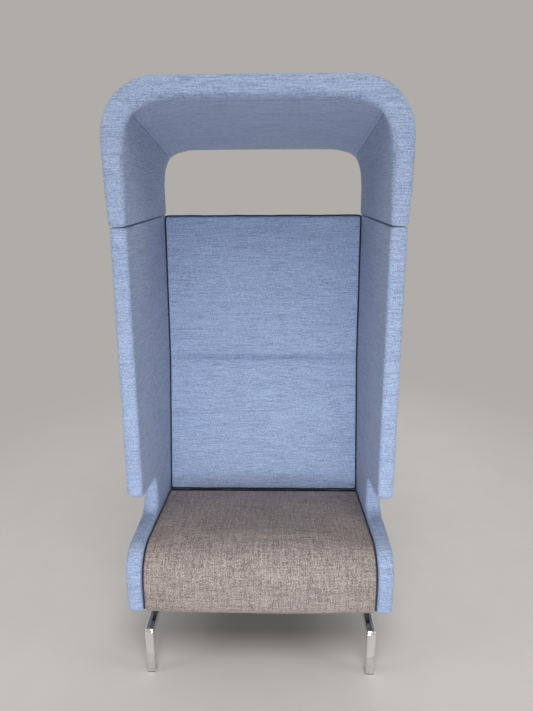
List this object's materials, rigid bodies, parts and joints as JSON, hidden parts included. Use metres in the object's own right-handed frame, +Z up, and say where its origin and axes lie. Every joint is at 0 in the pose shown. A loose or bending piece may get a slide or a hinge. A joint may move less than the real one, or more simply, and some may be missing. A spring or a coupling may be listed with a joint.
{
  "type": "pod sofa",
  "caption": "High-sided upholstered pod seat with a hood and open rear window over padded seat and back, on polished leg frames; screens a seated person from its surroundings.",
  "frame": {"origin": "on the floor, under the centre of the overall box", "axes": "+X to the right as seen from the front, +Y to the rear (the sitter faces -Y), +Z up"},
  "size_m": [0.863, 0.7148, 1.8505],
  "materials": {
    "blue_fabric": "matte",
    "brown_tweed": "matte",
    "navy_piping": "matte",
    "plywood": "matte",
    "black_timber": "matte",
    "webbing": "matte",
    "black_cloth": "matte",
    "chrome": "polished",
    "zinc_steel": "satin",
    "black_plastic": "matte"
  },
  "bodies": {
    "root": {"side_panel_left": "blue_fabric", "side_panel_right": "blue_fabric", "hood": "blue_fabric", "back_cushion": "blue_fabric", "back_cover": "blue_fabric", "seat_cushion": "brown_tweed", "seat_piping_left": "navy_piping", "seat_piping_right": "navy_piping", "back_piping": "navy_piping", "side_core_left": "plywood", "side_core_right": "plywood", "hood_core": "plywood", "back_board": "plywood", "corner_block_left_front": "plywood", "corner_block_left_rear": "plywood", "corner_block_right_front": "plywood", "corner_block_right_rear": "plywood", "base_rail_front": "black_timber", "base_rail_rear": "black_timber", "base_rail_left": "black_timber", "base_rail_right": "black_timber", "seat_web_1": "webbing", "seat_web_2": "webbing", "seat_web_3": "webbing", "seat_web_4": "webbing", "seat_web_5": "webbing", "seat_web_6": "webbing", "dust_cover": "black_cloth", "leg_frame_left": "chrome", "leg_frame_right": "chrome", "hood_pin_left_front": "zinc_steel", "hood_pin_left_rear": "zinc_steel", "hood_pin_right_front": "zinc_steel", "hood_pin_right_rear": "zinc_steel", "leg_bolt_left_front": "zinc_steel", "leg_bolt_left_rear": "zinc_steel", "leg_bolt_right_front": "zinc_steel", "leg_bolt_right_rear": "zinc_steel", "panel_bolt_left_front": "zinc_steel", "panel_bolt_left_rear": "zinc_steel", "panel_bolt_right_front": "zinc_steel", "panel_bolt_right_rear": "zinc_steel", "panel_insert_left_front": "zinc_steel", "panel_insert_left_rear": "zinc_steel", "panel_insert_right_front": "zinc_steel", "panel_insert_right_rear": "zinc_steel", "back_bracket_left_lower": "zinc_steel", "back_bracket_left_upper": "zinc_steel", "back_bracket_right_lower": "zinc_steel", "back_bracket_right_upper": "zinc_steel", "floor_glide_left_front": "black_plastic", "floor_glide_left_rear": "black_plastic", "floor_glide_right_front": "black_plastic", "floor_glide_right_rear": "black_plastic"}
  },
  "joints": []
}
